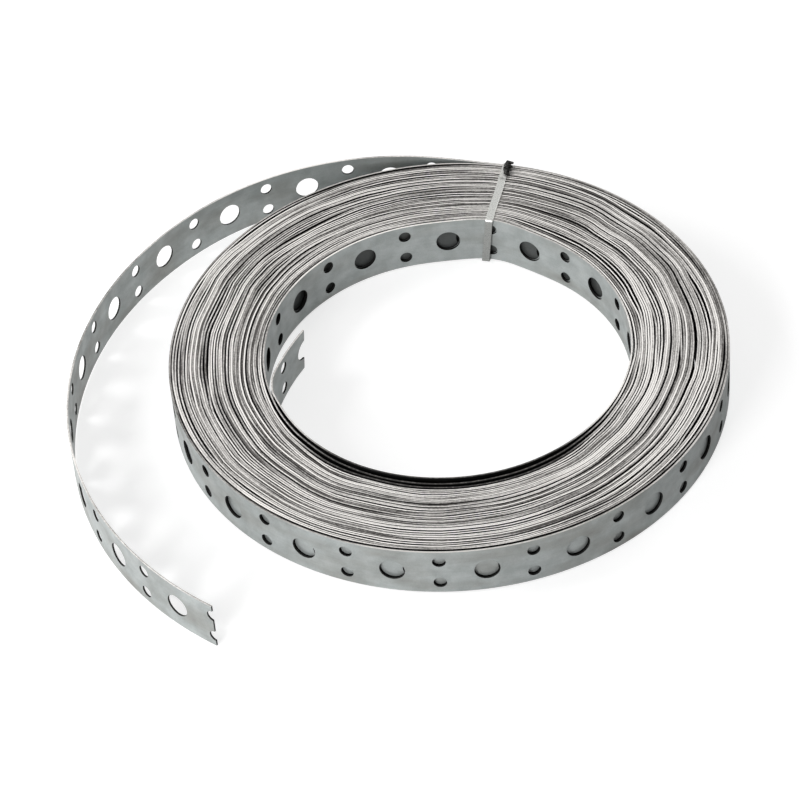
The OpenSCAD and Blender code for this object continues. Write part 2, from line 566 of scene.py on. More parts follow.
@dataclass
class PunchedStrip:
    """The whole strap as one closed mesh.

    Only the turns that show through holes are punched, a few at the outside and at the bore.
    """

    strip: StripSize
    route: Route
    last_turn: float
    punched_outer: float = 3.05
    punched_inner: float = 2.95
    first_edge: float = 0.35
    # how dark the painted shade is on faces that other turns lie on, by how many lie over them:
    # outside, and in the bore
    outer_shade: Triple = (0.0, 0.6, 1.0)
    bore_shade: tuple[float, float, float, float] = (0.0, 0.15, 0.8, 1.0)
    wound_step: float = 3.0
    along: int = 8
    up: int = 3

    def hole_cell(self, pattern: FlatPattern, s: float, pair: bool) -> None:
        """Draw one cell of the pattern, with a pair or with a large hole.

        Args:
            pattern: Where to draw it.
            s: Length at the cell's middle.
            pair: Whether it has a pair of small holes.
        """
        z = self.strip
        s0, s1 = s - z.half_pitch / 2, s + z.half_pitch / 2
        low, mid, high = z.chamfer, z.width / 2, z.width - z.chamfer
        if pair:
            radius, up = z.small_radius, self.up
            holes = ((mid - z.pair_gap / 2, low, mid), (mid + z.pair_gap / 2, mid, high))
        else:
            radius, up = z.big_radius, 2 * self.up
            holes = ((mid, low, high),)
        keep = (0.0, self.route.total)
        for h, h0, h1 in holes:
            pattern.holed((s, h), radius + z.chamfer, (s0, s1, h0, h1), (self.along, up), keep)

    def pattern(self) -> FlatPattern:
        """Lay out the strip flat: punched outer run, plain turns, punched inner run.

        Returns:
            The pattern.
        """
        half = self.strip.half_pitch
        route = self.route
        pattern = FlatPattern()
        last = route.turn_at.max()
        cells = math.ceil(route.length_at_turn(self.punched_outer * TURN) / half)
        for j in range(cells):
            self.hole_cell(pattern, j * half, j % 2 == 0)
        plain_from = (cells - 0.5) * half
        inner_start = route.length_at_turn(last - self.punched_inner * TURN)
        cells = math.ceil((route.total - inner_start) / half)
        for j in range(cells):
            self.hole_cell(pattern, route.total - j * half, j % 2 == 1)
        plain_to = route.total - (cells - 0.5) * half
        stations = route.length_at_turn(np.arange(0, last, self.wound_step))
        room = 0.3 * self.wound_step
        between = (stations > plain_from + room) & (stations < plain_to - room)
        self.plain_run(pattern, [plain_from, *stations[between], plain_to])
        return pattern

    def plain_run(self, pattern: FlatPattern, stations: list[float]) -> None:
        """Draw unpunched strip, joined to the cells at both ends.

        Args:
            pattern: Where to draw it.
            stations: Lengths at which its faces meet.
        """
        low, high = self.strip.chamfer, self.strip.width - self.strip.chamfer
        for s0, s1 in zip(stations, stations[1:]):
            corners = ((s0, low), (s1, low), (s1, high), (s0, high))
            pattern.faces.append([pattern.point(s, h) for s, h in corners])
        self.join_side(pattern, stations[0])
        self.join_side(pattern, stations[-1])

    def join_side(self, pattern: FlatPattern, s: float) -> None:
        """Give the plain face that meets a cell the points on the cell's side.

        Args:
            pattern: Where they are.
            s: Length at which they meet.
        """
        level = [(h, i) for i, (at, h) in enumerate(pattern.points) if abs(at - s) < 1 / PER_MM]
        chain = [i for _, i in sorted(level)]
        low, high = chain[0], chain[-1]
        for number in range(len(pattern.faces) - 1, -1, -1):
            face = pattern.faces[number]
            if low in face and high in face:
                at = face.index(low)
                if face[(at + 1) % 4] != high:
                    at = face.index(high)
                    chain = chain[::-1]
                pattern.faces[number] = chain + [face[(at + 2) % 4], face[(at + 3) % 4]]
                return

    def eased_rim(self, flat: np.ndarray, edges: np.ndarray) -> tuple[np.ndarray, np.ndarray]:
        """Move the free edges out by the chamfer.

        Args:
            flat: Points of the pattern.
            edges: Its free edges.

        Returns:
            Numbers of the points on those edges, and where the points move to.
        """
        run = flat[edges[:, 1]] - flat[edges[:, 0]]
        run /= np.hypot(*run.T)[:, None]
        out = np.stack([run[:, 1], -run[:, 0]], axis=1)
        push = np.zeros_like(flat)
        first = np.zeros_like(flat)
        np.add.at(push, edges[:, 0], out)
        np.add.at(push, edges[:, 1], out)
        first[edges[:, 0]] = out
        corner = 1 + (first * (push - first)).sum(axis=1)
        rim = np.unique(edges)
        return rim, flat[rim] + self.strip.chamfer * push[rim] / corner[rim, None]

    def solid(self, base: float) -> WoundMesh:
        """Give the pattern its thickness and wind it.

        Args:
            base: Height of the strip's lower edge, in mm.

        Returns:
            The wound strip.
        """
        z = self.strip
        route = self.route
        pattern = self.pattern()
        flat = np.array(pattern.points)
        edges = pattern.edges()
        rim, outline = self.eased_rim(flat, edges)
        border = np.minimum(flat[:, 1] - z.chamfer, z.width - z.chamfer - flat[:, 1]) < 1 / PER_MM
        flat[:, 0] = np.clip(flat[:, 0], z.chamfer, route.total - z.chamfer)
        outline[:, 0] = np.clip(outline[:, 0], 0, route.total)
        thick = np.full(len(flat), z.thickness / 2)
        thin = z.thickness / 2 - np.where(border[rim], z.corner, z.chamfer)
        layers = ((flat, thick), (flat, -thick), (outline, thin), (outline, -thin))
        place = np.concatenate([np.column_stack(layer) for layer in layers])
        turn = route.at(flat[:, 0], route.turn_at)
        wound_out = (turn > TURN) & (turn < self.last_turn)
        wound_in = (turn > 0) & (turn < self.last_turn - TURN)
        wound = np.concatenate([wound_out, wound_in, wound_out[rim], wound_in[rim]])
        n = len(flat)
        faces = [face[::-1] for face in pattern.faces]
        faces += [[i + n for i in face] for face in pattern.faces]
        broad = len(faces)
        kinds = [Surface.ROLLED.value] * broad
        sheared, corner = Surface.SHEARED.value, Surface.CORNER.value
        for (a, b), (ra, rb) in zip(edges.tolist(), np.searchsorted(rim, edges).tolist()):
            outer_a, outer_b = 2 * n + ra, 2 * n + rb
            inner_a, inner_b = outer_a + len(rim), outer_b + len(rim)
            faces.append([b + n, a + n, inner_a, inner_b])
            faces.append([inner_b, inner_a, outer_a, outer_b])
            faces.append([outer_b, outer_a, a, b])
            if border[a] and border[b]:
                kinds.append(corner if wound_in[a] else sheared)
                kinds.append(sheared)
                kinds.append(corner if wound_out[a] else sheared)
            else:
                kinds += [Surface.PUNCHED.value] * 3
        s, h, depth = place.T
        normal = route.at(s, route.normal)
        normal /= np.hypot(*normal.T)[:, None]
        tilt = route.at(s, route.lean) * (1 - 2 * h / z.width)
        plan = route.at(s, route.plan) + normal * (depth + tilt)[:, None]
        points = np.column_stack([plan, base + h + route.at(s, route.lift)])
        marks = self.marks(s, np.sign(depth), wound)
        return WoundMesh(points, faces, kinds, broad, place, normal, marks)

    def marks(self, s: np.ndarray, side: np.ndarray, wound: np.ndarray) -> dict[str, np.ndarray]:
        """Work out the marks that the finishes read.

        Args:
            s: Length along the strip, of each point.
            side: 1 for a point of the outer face, -1 for one of the inner face.
            wound: Whether another turn covers it.

        Returns:
            The marks by name, as WoundMesh gives them.
        """
        route = self.route
        turn = route.at(s, route.turn_at)
        outer_layer = np.floor(turn / TURN)
        inner_layer = np.ceil((self.last_turn - turn) / TURN)
        # how dark the painted shade is on a face that other turns lie on, by how many lie over it
        deep_out = np.interp(outer_layer, (1, 2, 3), self.outer_shade)
        deep_in = np.interp(inner_layer, (1, 2, 3, 4), self.bore_shade)
        above = route.length_at_turn(turn - side * TURN)
        lining = (turn >= 0) & (turn < TURN)
        # most of these marks place painted shade: on faces that other turns lie on, in the gaps
        # between turns and on the edges of the slack turns
        return {
            "wound": wound * 1.0,
            "covered": np.where(side > 0, deep_out, deep_in) * wound,
            "over": np.where(side > 0, above, route.total - above + self.strip.half_pitch),
            "oil": route.gap_shade_beside(s, side) * wound,
            "dull": np.maximum(route.at(s, route.dull), self.first_edge * lining),
        }


# ---------------------------------------------------------------- meshes


def mesh_piece(name: str, points: np.ndarray, faces: Faces, sharp: float) -> bpy.types.Object:
    """Make a mesh object from points in mm.

    Args:
        name: The piece's name.
        points: Points in mm.
        faces: Point numbers of each face.
        sharp: Angle in degrees from which an edge is sharp.

    Returns:
        The object, shaded smooth between sharp edges.
    """
    mesh = bpy.data.meshes.new(name)
    mesh.from_pydata((points * MM).tolist(), [], faces)
    mesh.shade_smooth()
    mesh.set_sharp_from_angle(angle=math.radians(sharp))
    piece = bpy.data.objects.new(name, mesh)
    bpy.context.scene.collection.objects.link(piece)
    return piece


def add_mark(mesh: bpy.types.Mesh, name: str, values: np.ndarray) -> None:
    """Give each point of a mesh a named number, for its finish to read."""
    layer = mesh.attributes.new(name, "FLOAT", "POINT")
    layer.data.foreach_set("value", values.astype(np.float32))


# ---------------------------------------------------------------- finishes


def empty_nodes(owner: bpy.types.Material | bpy.types.World) -> bpy.types.NodeTree:
    """Switch on the nodes of a material or the world, with none in it.

    Args:
        owner: The material or world.

    Returns:
        Its nodes.
    """
    owner.use_nodes = True
    owner.node_tree.nodes.clear()
    return owner.node_tree


def add(
    tree: bpy.types.NodeTree, kind: str, links: dict | None = None, **settings: object
) -> bpy.types.Node:
    """Add one node with its settings and links.

    Args:
        tree: The material's or world's nodes.
        kind: Blender's name for the node, after "ShaderNode".
        links: What feeds each input: a node, which stands for its first output, one of its
            other outputs, or a value.
        settings: Properties of the node.

    Returns:
        The new node.
    """
    node = tree.nodes.new("ShaderNode" + kind)
    for name, value in settings.items():
        setattr(node, name, value)
    for name, value in (links or {}).items():
        if isinstance(value, bpy.types.Node):
            value = value.outputs[0]
        if isinstance(value, bpy.types.NodeSocket):
            tree.links.new(value, node.inputs[name])
        else:
            node.inputs[name].default_value = value
    return node


def remap(span: Span, to: Span = (0.0, 1.0)) -> dict[int, float]:
    """Values for the inputs by which one span of values becomes another."""
    return {1: span[0], 2: span[1], 3: to[0], 4: to[1]}


@dataclass(frozen=True)
class Finish:
    """One metal surface, between a dark and a light colour."""

    name: str
    light: str
    dark: str
    metallic: float

    def material(self) -> bpy.types.Material:
        """Make the material, with one Principled shader.

        Returns:
            The material.
        """
        material = bpy.data.materials.new(self.name)
        tree = empty_nodes(material)
        shader = add(tree, "BsdfPrincipled", {"Metallic": self.metallic, **self.sockets(tree)})
        add(tree, "OutputMaterial", {"Surface": shader})
        return material

    def sockets(self, tree: bpy.types.NodeTree) -> dict[str, object]:
        """What feeds the shader, by the names of its inputs."""
        raise NotImplementedError

    def strip_patterns(self, tree: bpy.types.NodeTree, *sizes: Triple) -> list[bpy.types.Node]:
        """Lay irregular patterns along the flat strip.

        Args:
            tree: The material's nodes.
            sizes: Size of each pattern in mm, along the strip, up it and through it.

        Returns:
            A node for each, whose first output is the pattern.
        """
        place = add(tree, "Attribute", attribute_name="flat_place").outputs["Vector"]
        laid = []
        for size in sizes:
            at = add(tree, "VectorMath", {0: place, 1: size}, operation="DIVIDE")
            laid.append(add(tree, "TexNoise", {"Vector": at, "Scale": 1.0}))
        return laid

    def toned(
        self, tree: bpy.types.NodeTree, pattern: bpy.types.Node, span: Span
    ) -> bpy.types.NodeSocket:
        """Colour from dark to light by a pattern.

        Args:
            tree: The material's nodes.
            pattern: Where it is light.
            span: Values of the pattern that are all dark and all light.

        Returns:
            The colour.
        """
        share = add(tree, "MapRange", {0: pattern, **remap(span)})
        colours = {0: share, 6: linear(self.dark), 7: linear(self.light)}
        return add(tree, "Mix", colours, data_type="RGBA").outputs[2]


@dataclass(frozen=True)
class RolledZinc(Finish):
    """Galvanised steel strip, dipped and then passed through a temper mill.

    To the eye it is an even blue-grey metal with soft cloudy patches, a fine grain and broad
    warm stains from storage. Where another turn lies on it, it is painted black as shade, all
    but the spots under the holes of that turn, where light reaches.
    """

    name: str = "galvanised_steel_rolled"
    light: str = "bcc1c0"
    dark: str = "a3a8a7"
    metallic: float = 0.65
    roughness: Span = (0.48, 0.36)
    coat_span: Span = (0.36, 0.64)
    cloud_mm: Triple = (6.0, 6.0, 1.0)
    # the real rolling lines and grain are finer: both are drawn as coarse as they need to show
    line_mm: Triple = (25.0, 1.2, 1.0)
    grain_mm: Triple = (0.5, 0.5, 0.5)
    cloud_share: float = 0.6
    grain_share: float = 0.62
    # the coat's relief: its strength, and its depth in metres
    relief: Span = (0.1, 0.00005)
    stain: str = "7f7a72"
    stain_mm: Triple = (26.0, 9.0, 1.0)
    stain_span: Span = (0.45, 0.75)
    stain_share: float = 0.55
    # painted shade where another turn lies on the face; it ends a little way in from the rims of
    # the holes above it, where light reaches
    covered: str = "151514"
    middle_mm: float = 10.0
    cell_mm: float = 16.5
    under_holes: tuple[tuple[Triple, float], ...] = (
        ((16.5, 0.0, 0.0), 4.5),
        ((0.0, 5.15, 0.0), 2.3),
    )
    shade_rim_fade: float = 0.15

    def sockets(self, tree: bpy.types.NodeTree) -> dict[str, object]:
        """Draw the coat along the flat strip, and the painted shade over it where another turn lies
        on it.

        Args:
            tree: The material's nodes.

        Returns:
            What feeds the shader.
        """
        sizes = (self.cloud_mm, self.line_mm, self.grain_mm, self.stain_mm)
        cloud, lines, grain, patch = self.strip_patterns(tree, *sizes)
        cloud.inputs["Detail"].default_value = 4.0
        patch.inputs["Detail"].default_value = 5.0
        fine = add(tree, "Mix", {0: self.grain_share, 2: lines, 3: grain})
        coat = add(tree, "Mix", {0: self.cloud_share, 2: fine, 3: cloud})
        fresh = self.toned(tree, coat, self.coat_span)
        most = (0.0, self.stain_share)
        stained = add(tree, "MapRange", {0: patch, **remap(self.stain_span, most)})
        colours = {0: stained, 6: fresh, 7: linear(self.stain)}
        unshaded = add(tree, "Mix", colours, data_type="RGBA").outputs[2]
        # painted shade where another turn lies on the face, left open under its holes
        colours = {0: self.darkening(tree), 6: unshaded, 7: linear(self.covered)}
        colour = add(tree, "Mix", colours, data_type="RGBA").outputs[2]
        polish = add(tree, "MapRange", {0: cloud, **remap(NOISE_SPAN, self.roughness)})
        strength, depth = self.relief
        bump = add(tree, "Bump", {"Height": coat, "Strength": strength, "Distance": depth})
        return {"Base Color": colour, "Roughness": polish, "Normal": bump}

    def darkening(self, tree: bpy.types.NodeTree) -> bpy.types.Node:
        """Find the painted shade where another turn lies on this one, all but where the holes of
        that turn leave it open.

        Args:
            tree: The material's nodes.

        Returns:
            A node that gives the painted shade's share, from 0 to 1.
        """
        place, wound, covered, over = [
            add(tree, "Attribute", attribute_name=name)
            for name in ("flat_place", "wound", "covered", "over")
        ]
        height = add(tree, "SeparateXYZ", {0: place.outputs["Vector"]}).outputs["Y"]
        off = add(tree, "Math", {0: height, 1: self.middle_mm}, operation="SUBTRACT")
        off = add(tree, "Math", {0: off}, operation="ABSOLUTE")
        cell = {0: over.outputs["Fac"], 1: self.cell_mm}
        along = add(tree, "Math", cell, operation="PINGPONG")
        spot = add(tree, "CombineXYZ", {0: along, 1: off})
        darkening = wound.outputs["Fac"]
        for centre, radius in self.under_holes:
            away = add(tree, "VectorMath", {0: spot, 1: centre}, operation="DISTANCE")
            rim = (radius - self.shade_rim_fade, radius + self.shade_rim_fade)
            dark = add(tree, "MapRange", {0: away.outputs["Value"], **remap(rim)})
            darkening = add(tree, "Math", {0: darkening, 1: dark}, operation="MULTIPLY")
        return add(tree, "Math", {0: darkening, 1: covered.outputs["Fac"]}, operation="MAXIMUM")


@dataclass(frozen=True)
class ShearedEdge(Finish):
    """Edge left by the slitting shears, bright bare steel with a smear of zinc.

    To the eye it is nearly white in streaks, with duller stretches between them and fine
    crosswise nicks. Where its mark says so it is darker: painted shade on the edges of the
    slack turns round the bore, and a darker tone along the outermost turn.
    """

    name: str = "steel_edge_sheared"
    light: str = "f4f1ed"
    dark: str = "5a5754"
    metallic: float = 0.4
    roughness: Span = (0.62, 0.5)
    light_span: Span = (0.38, 0.55)
    streak_mm: Triple = (80.0, 40.0, 5.0)
    short_mm: Triple = (11.0, 40.0, 2.0)
    notch_mm: Triple = (0.8, 40.0, 0.5)
    notch_share: float = 0.5
    short_share: float = 0.3
    # the nicks' relief: its strength, and its depth in metres
    relief: Span = (0.3, 0.0001)
    # darker tones where the mark says: painted shade on the slack turns' edges, and the outermost
    # turn's edge
    dark_tones: tuple[str, str] = ("2f2d2b", "6a6764")
    dark_tone_span: Span = (0.45, 0.7)
    darkening_mark: str = "dull"

    def sockets(self, tree: bpy.types.NodeTree) -> dict[str, object]:
        """Draw the streaks along the flat strip, and over them the darker tones that the mark
        gives, most of them painted shade.

        Args:
            tree: The material's nodes.

        Returns:
            What feeds the shader.
        """
        sizes = (self.streak_mm, self.short_mm, self.notch_mm)
        streak, short, notch = self.strip_patterns(tree, *sizes)
        nicked = add(tree, "Mix", {0: self.notch_share, 2: short, 3: notch})
        worn = add(tree, "Mix", {0: self.short_share, 2: streak, 3: nicked})
        bare = self.toned(tree, worn, self.light_span)
        thin = add(tree, "MapRange", {0: notch, **remap(self.dark_tone_span)})
        black, brown = self.dark_tones
        colours = {0: thin, 6: linear(black), 7: linear(brown)}
        darkening = add(tree, "Mix", colours, data_type="RGBA").outputs[2]
        mark = add(tree, "Attribute", attribute_name=self.darkening_mark).outputs["Fac"]
        colours = {0: mark, 6: bare, 7: darkening}
        colour = add(tree, "Mix", colours, data_type="RGBA").outputs[2]
        polish = add(tree, "MapRange", {0: short, **remap(NOISE_SPAN, self.roughness)})
        strength, depth = self.relief
        bump = add(tree, "Bump", {"Height": notch, "Strength": strength, "Distance": depth})
        return {"Base Color": colour, "Roughness": polish, "Normal": bump}


@dataclass(frozen=True)
class ShadedCorner(ShearedEdge):
    """Corner of the sheared edge between two turns, painted black as the shade in the gap.

    To the eye it is a crisp black line that fades in and out along the turn.
    """

    name: str = "steel_corner_painted_shade"
    light: str = "ece8e4"
    dark: str = "5c5956"
    # painted shade: near-black tones in the gap between turns
    dark_tones: tuple[str, str] = ("0b0a0a", "191817")
    darkening_mark: str = "oil"


@dataclass(frozen=True)
class ShadedPunchedWall(Finish):
    """Wall of a punched hole, torn bare steel, painted nearly black as the shade in the hole.

    To the eye it is nearly black, a thin dark line at the hole's lower rim.
    """

    name: str = "steel_wall_punched_painted_shade"
    # painted shade: near-black tones for the wall inside the hole
    light: str = "1c1b1a"
    dark: str = "0a0a09"
    metallic: float = 0.5
    roughness: float = 0.65
    torn_mm: Triple = (1.5, 1.5, 0.5)
    torn_span: Span = (0.35, 0.65)

    def sockets(self, tree: bpy.types.NodeTree) -> dict[str, object]:
        """Draw the torn grain, with one roughness all over.

        Args:
            tree: The material's nodes.

        Returns:
            What feeds the shader.
        """
        torn = self.strip_patterns(tree, self.torn_mm)[0]
        colour = self.toned(tree, torn, self.torn_span)
        return {"Base Color": colour, "Roughness": self.roughness}


@dataclass(frozen=True)
class TieSteel(Finish):
    """Drawn and flattened soft steel wire, bright zinc plated.

    To the eye it is the brightest metal here on top of the coil, with a fine grain. It is
    darker towards the bottom, down in the bore, and has painted shade in the dint on its top
    run.
    """

    name: str = "flat_wire_bright"
    light: str = "e6e6e2"
    dark: str = "b4b5b2"
    metallic: float = 0.75
    roughness: Span = (0.25, 0.4)
    light_span: Span = NOISE_SPAN
    # the real grain is finer: it is drawn as coarse as it needs to show
    grain_mm: float = 0.3
    # darker tone for the painted shade in the dint and for the lower stretch of the loop
    darker_tone: str = "8f918f"

    def sockets(self, tree: bpy.types.NodeTree) -> dict[str, object]:
        """Draw the plating in the coil's own frame, and darken it where its mark says: painted
        shade in the dint, and towards the bottom.

        Args:
            tree: The material's nodes.

        Returns:
            What feeds the shader.
        """
        place = add(tree, "TexCoord").outputs["Object"]
        scale = {0: place, "Scale": 1 / (self.grain_mm * MM)}
        at = add(tree, "VectorMath", scale, operation="SCALE")
        grain = add(tree, "TexNoise", {"Vector": at, "Scale": 1.0})
        plated = self.toned(tree, grain, self.light_span)
        # painted shade in the dint, and darker towards the bottom
        dint_shade_and_lower_dark = add(tree, "Attribute", attribute_name="dint_shade_and_lower_dark").outputs["Fac"]
        colours = {0: dint_shade_and_lower_dark, 6: plated, 7: linear(self.darker_tone)}
        colour = add(tree, "Mix", colours, data_type="RGBA").outputs[2]
        polish = add(tree, "MapRange", {0: grain, **remap(NOISE_SPAN, self.roughness)})
        return {"Base Color": colour, "Roughness": polish}


@dataclass(frozen=True)
class ShadedTwistSteel(TieSteel):
    """The same wire where it is twisted, painted dark as the shade in the knot.

    To the eye it is a dark knot with a few grey patches in its grain.
    """

    name: str = "flat_wire_twisted_painted_shade"
    # painted shade: dark tones for the twisted knot
    light: str = "5c5d5b"
    dark: str = "131312"
    light_span: Span = (0.5, 0.75)
    grain_mm: float = 1.5


# ---------------------------------------------------------------- the strap and the tie


@dataclass
class StrapCoil:
    """The strap itself, wound, punched and dressed."""

    strip: StripSize
    coil: CoilSize
    seed: int
    sharp: float = 40.0
    route: Route = field(init=False)

    def __post_init__(self) -> None:
        """Lay the route."""
        self.route = Winding(self.strip, self.coil, np.random.default_rng(self.seed)).route()

    def build(self, base: float) -> bpy.types.Object:
        """Make the strap's piece.

        Args:
            base: Height of the strip's lower edge, in mm.

        Returns:
            The piece.
        """
        shape = PunchedStrip(self.strip, self.route, self.coil.last_turn).solid(base)
        piece = mesh_piece("perforated_strap_strip", shape.points, shape.faces, self.sharp)
        mesh = piece.data
        for finish in (RolledZinc(), ShearedEdge(), ShadedPunchedWall(), ShadedCorner()):
            mesh.materials.append(finish.material())
        mesh.polygons.foreach_set("material_index", shape.kinds)
        where = mesh.attributes.new("flat_place", "FLOAT_VECTOR", "POINT")
        where.data.foreach_set("vector", shape.place.astype(np.float32).ravel())
        for name, values in shape.marks.items():
            add_mark(mesh, name, values)
        self.smooth_faces(mesh, shape)
        return piece

    def smooth_faces(self, mesh: bpy.types.Mesh, shape: WoundMesh) -> None:
        """Shade both broad faces of the strip as smooth bends, whatever their quads.

        Args:
            mesh: The strap's mesh.
            shape: What it was made from.
        """
        point = np.zeros(len(mesh.loops), dtype=np.int64)
        mesh.loops.foreach_get("vertex_index", point)
        counts = np.zeros(len(mesh.polygons), dtype=np.int64)
        mesh.polygons.foreach_get("loop_total", counts)
        normals = np.zeros((len(point), 3))
        normals[:, :2] = shape.normal[point] * np.sign(shape.place[point, 2])[:, None]
        # a normal of no length leaves the corner as it is
        normals[counts[: shape.broad].sum() :] = 0
        mesh.normals_split_custom_set(normals.tolist())


@dataclass
class FlatTie:
    """Flat steel wire round the coil's section, with its ends twisted together.

    It is drawn with the radius along X, the run round the coil along Y and Z up, in mm.
    """

    angle: float = 74.5
    width: float = 2.9
    thickness: float = 0.5
    chamfer: float = 0.09
    corner: float = 0.9
    corner_steps: int = 9
    straight_step: float = 2.0
    bore_face: float = 69.4
    outer_face: float = 102.3
    lean: Span = (-0.9, 2.0)
    # how unevenly it was drawn and bent: shares of its width, and mm to one side
    uneven: Span = (0.015, 0.01)
    uneven_rate: Span = (0.9, 1.3)
    waver: float = 0.08
    waver_rate: float = 0.35
    # a dint pressed into the top run, with painted shade over it, and the lowest stretch darker
    dimple_at: float = 93.6
    dimple_depth: float = 0.38
    dimple_size: Span = (0.6, 1.0)
    dimple_steps: int = 17
    dint_shade_size: Span = (0.55, 0.8)
    lower_dark: float = 0.7
    lower_dark_from: Span = (0.7, 1.7)
    # the twisted ends
    twist_from: float = 95.4
    twist_tip: float = 102.3
    twist_turns: float = 1.5
    twist_start: float = 20.0
    twist_reach: float = 1.2
    twist_aside: float = -1.5
    twist_spread: float = 1.25
    twist_clear: float = 0.02
    twist_steps: int = 61
    twist_apart: float = 0.52
    twist_bow: float = 0.35
    # shares of the width: along the twist, and what is pinched off its start and its tip
    twist_width: Triple = (0.9, 0.1, 0.12)
    sharp: float = 35.0

    def section(self, width: float) -> np.ndarray:
        """Outline the wire, with eased corners.

        Args:
            width: Width of the wire.

        Returns:
            Points of the outline, each across and through the wire.
        """
        w, t, c = width / 2, self.thickness / 2, self.chamfer
        side = [(w - c, -t), (w - 0.3 * c, 0.3 * c - t), (w, c - t)]
        side += [(a, -b) for a, b in side[::-1]]
        top = [(x * (w - c), t) for x in (0.6, 0.3, 0.0, -0.3, -0.6)]
        return np.array(side + top + [(-a, b) for a, b in side[::-1]])

    def sweep(
        self, path: np.ndarray, across: np.ndarray, through: np.ndarray, widths: np.ndarray,
        closed: bool,
    ) -> Shape:
        """Draw the wire along a path.

        Args:
            path: Points of its middle line.
            across: Unit vector across the flat at each point.
            through: Unit vector through the thickness at each point.
            widths: Width at each point.
            closed: Whether the last point joins the first.

        Returns:
            Points and faces.
        """
        rings = []
        for point, side, up, width in zip(path, across, through, widths):
            outline = self.section(width)
            rings.append(point + outline[:, :1] * side + outline[:, 1:] * up)
        count = len(rings[0])
        faces = []
        for i in range(len(rings) if closed else len(rings) - 1):
            a, b = i * count, (i + 1) % len(rings) * count
            for k in range(count):
                j = (k + 1) % count
                faces.append([a + k, a + j, b + j, b + k])
        if not closed:
            last = (len(rings) - 1) * count
            faces.append(list(range(count))[::-1])
            faces.append(list(range(last, last + count)))
        return np.concatenate(rings), faces

    def loop(self, low: float, high: float) -> Shape:
        """Draw the ring round the coil's section.

        Args:
            low: Height of the strip's lower edge, in mm.
            high: Height of its upper edge.

        Returns:
            Points and faces.
        """
        t = self.thickness / 2
        x0, x1 = self.bore_face - t, self.outer_face + t
        z0, z1 = low - t, high + t
        r, gap = self.corner, self.straight_step
        points, ups = [], []
        corners = (
            (x1 - r, z0 + r, -90),
            (x1 - r, z1 - r, 0),
            (x0 + r, z1 - r, 90),
            (x0 + r, z0 + r, 180),
        )
        for cx, cz, start in corners:
            for step in np.linspace(0, 90, self.corner_steps):
                u = plan_unit(start + step)
                points.append((cx + r * u[0], 0, cz + r * u[1]))
                ups.append((u[0], 0, u[1]))
            if start == 0:
                near = self.dimple_at + np.linspace(gap, -gap, self.dimple_steps)
                before = np.arange(x1 - gap, near[0], -0.75 * gap)
                after = np.arange(near[-1] - gap, x0 + gap, -gap)
                for x in (*before, *near, *after):
                    points.append((x, 0, z1))
                    ups.append((0, 0, 1))
            elif start == 90:
                for z in np.arange(z1 - gap, z0 + gap, -gap):
                    points.append((x0, 0, z))
                    ups.append((-1, 0, 0))
        path = np.array(points)
        across = np.tile([0.0, 1.0, 0.0], (len(path), 1))
        swell = 1.0
        for axis, share, rate in zip((0, 2), self.uneven, self.uneven_rate):
            swell = swell + share * np.sin(path[:, axis] * rate)
        shape, faces = self.sweep(path, across, np.array(ups), self.width * swell, True)
        x, _, z = shape.T
        pressed = self.pressed(shape, self.dimple_size)
        shape[:, 2] -= np.where(z > high + t, self.dimple_depth * pressed, 0)
        share = np.clip((z1 - z) / (z1 - z0), 0, 1) * np.clip((x1 - x) / (x1 - x0), 0, 1)
        shape[:, 0] += self.lean[0] * share
        shape[:, 1] += self.lean[1] * share + self.waver * np.sin(shape[:, 0] * self.waver_rate)
        return shape, faces

    def pressed(self, shape: np.ndarray, size: Span) -> np.ndarray:
        """How deep the dimple is at each point, from 0 to 1, with its size along and across."""
        return hump(shape[:, 0], self.dimple_at, size[0]) * hump(shape[:, 1], 0.0, size[1])

    def twisted(self, high: float, way: int) -> Shape:
        """Draw one of the two ends in the twist that lies along the top.

        Args:
            high: Height of the strip's upper edge, in mm.
            way: 1 or -1 for the two ends.

        Returns:
            Points and faces.
        """
        steps = np.linspace(0, 1, self.twist_steps)
        x = self.twist_from + (self.twist_tip - self.twist_from) * steps
        rise = self.twist_reach * (0.25 + 0.75 * smoothstep(steps / 0.3))
        rise = rise - 0.5 * smoothstep((steps - 0.55) / 0.45)
        twist = TURN * self.twist_turns * smoothstep(steps * 0.85 + 0.1)
        level, up = plan_unit(self.twist_start + twist).T
        zero = np.zeros_like(level)
        across = np.stack([zero, level, up], axis=1)
        through = np.stack([zero, -up, level], axis=1)
        bottom = high + self.thickness + self.twist_clear
        path = np.stack([x, self.twist_bow * np.sin(2.4 * steps), bottom + rise], axis=1)
        path = path + way * through * self.thickness * self.twist_apart
        most, start, tip = self.twist_width
        share = most - start * (1 - smoothstep(steps / 0.25)) - tip * smoothstep(steps * 4 - 3)
        shape, faces = self.sweep(path, across, through, self.width * share, False)
        shape[:, 1] = self.twist_aside + self.twist_spread * shape[:, 1]
        return shape, faces

    def build(self, low: float, high: float) -> list[bpy.types.Object]:
        """Make the loop and the twist as two pieces.

        Args:
            low: Height of the strip's lower edge, in mm.
            high: Height of its upper edge.

        Returns:
            Both pieces.
        """
        drawn, faces = self.loop(low, high)
        loop = mesh_piece("binding_tie_loop", turned(drawn, self.angle), faces, self.sharp)
        loop.data.materials.append(TieSteel().material())
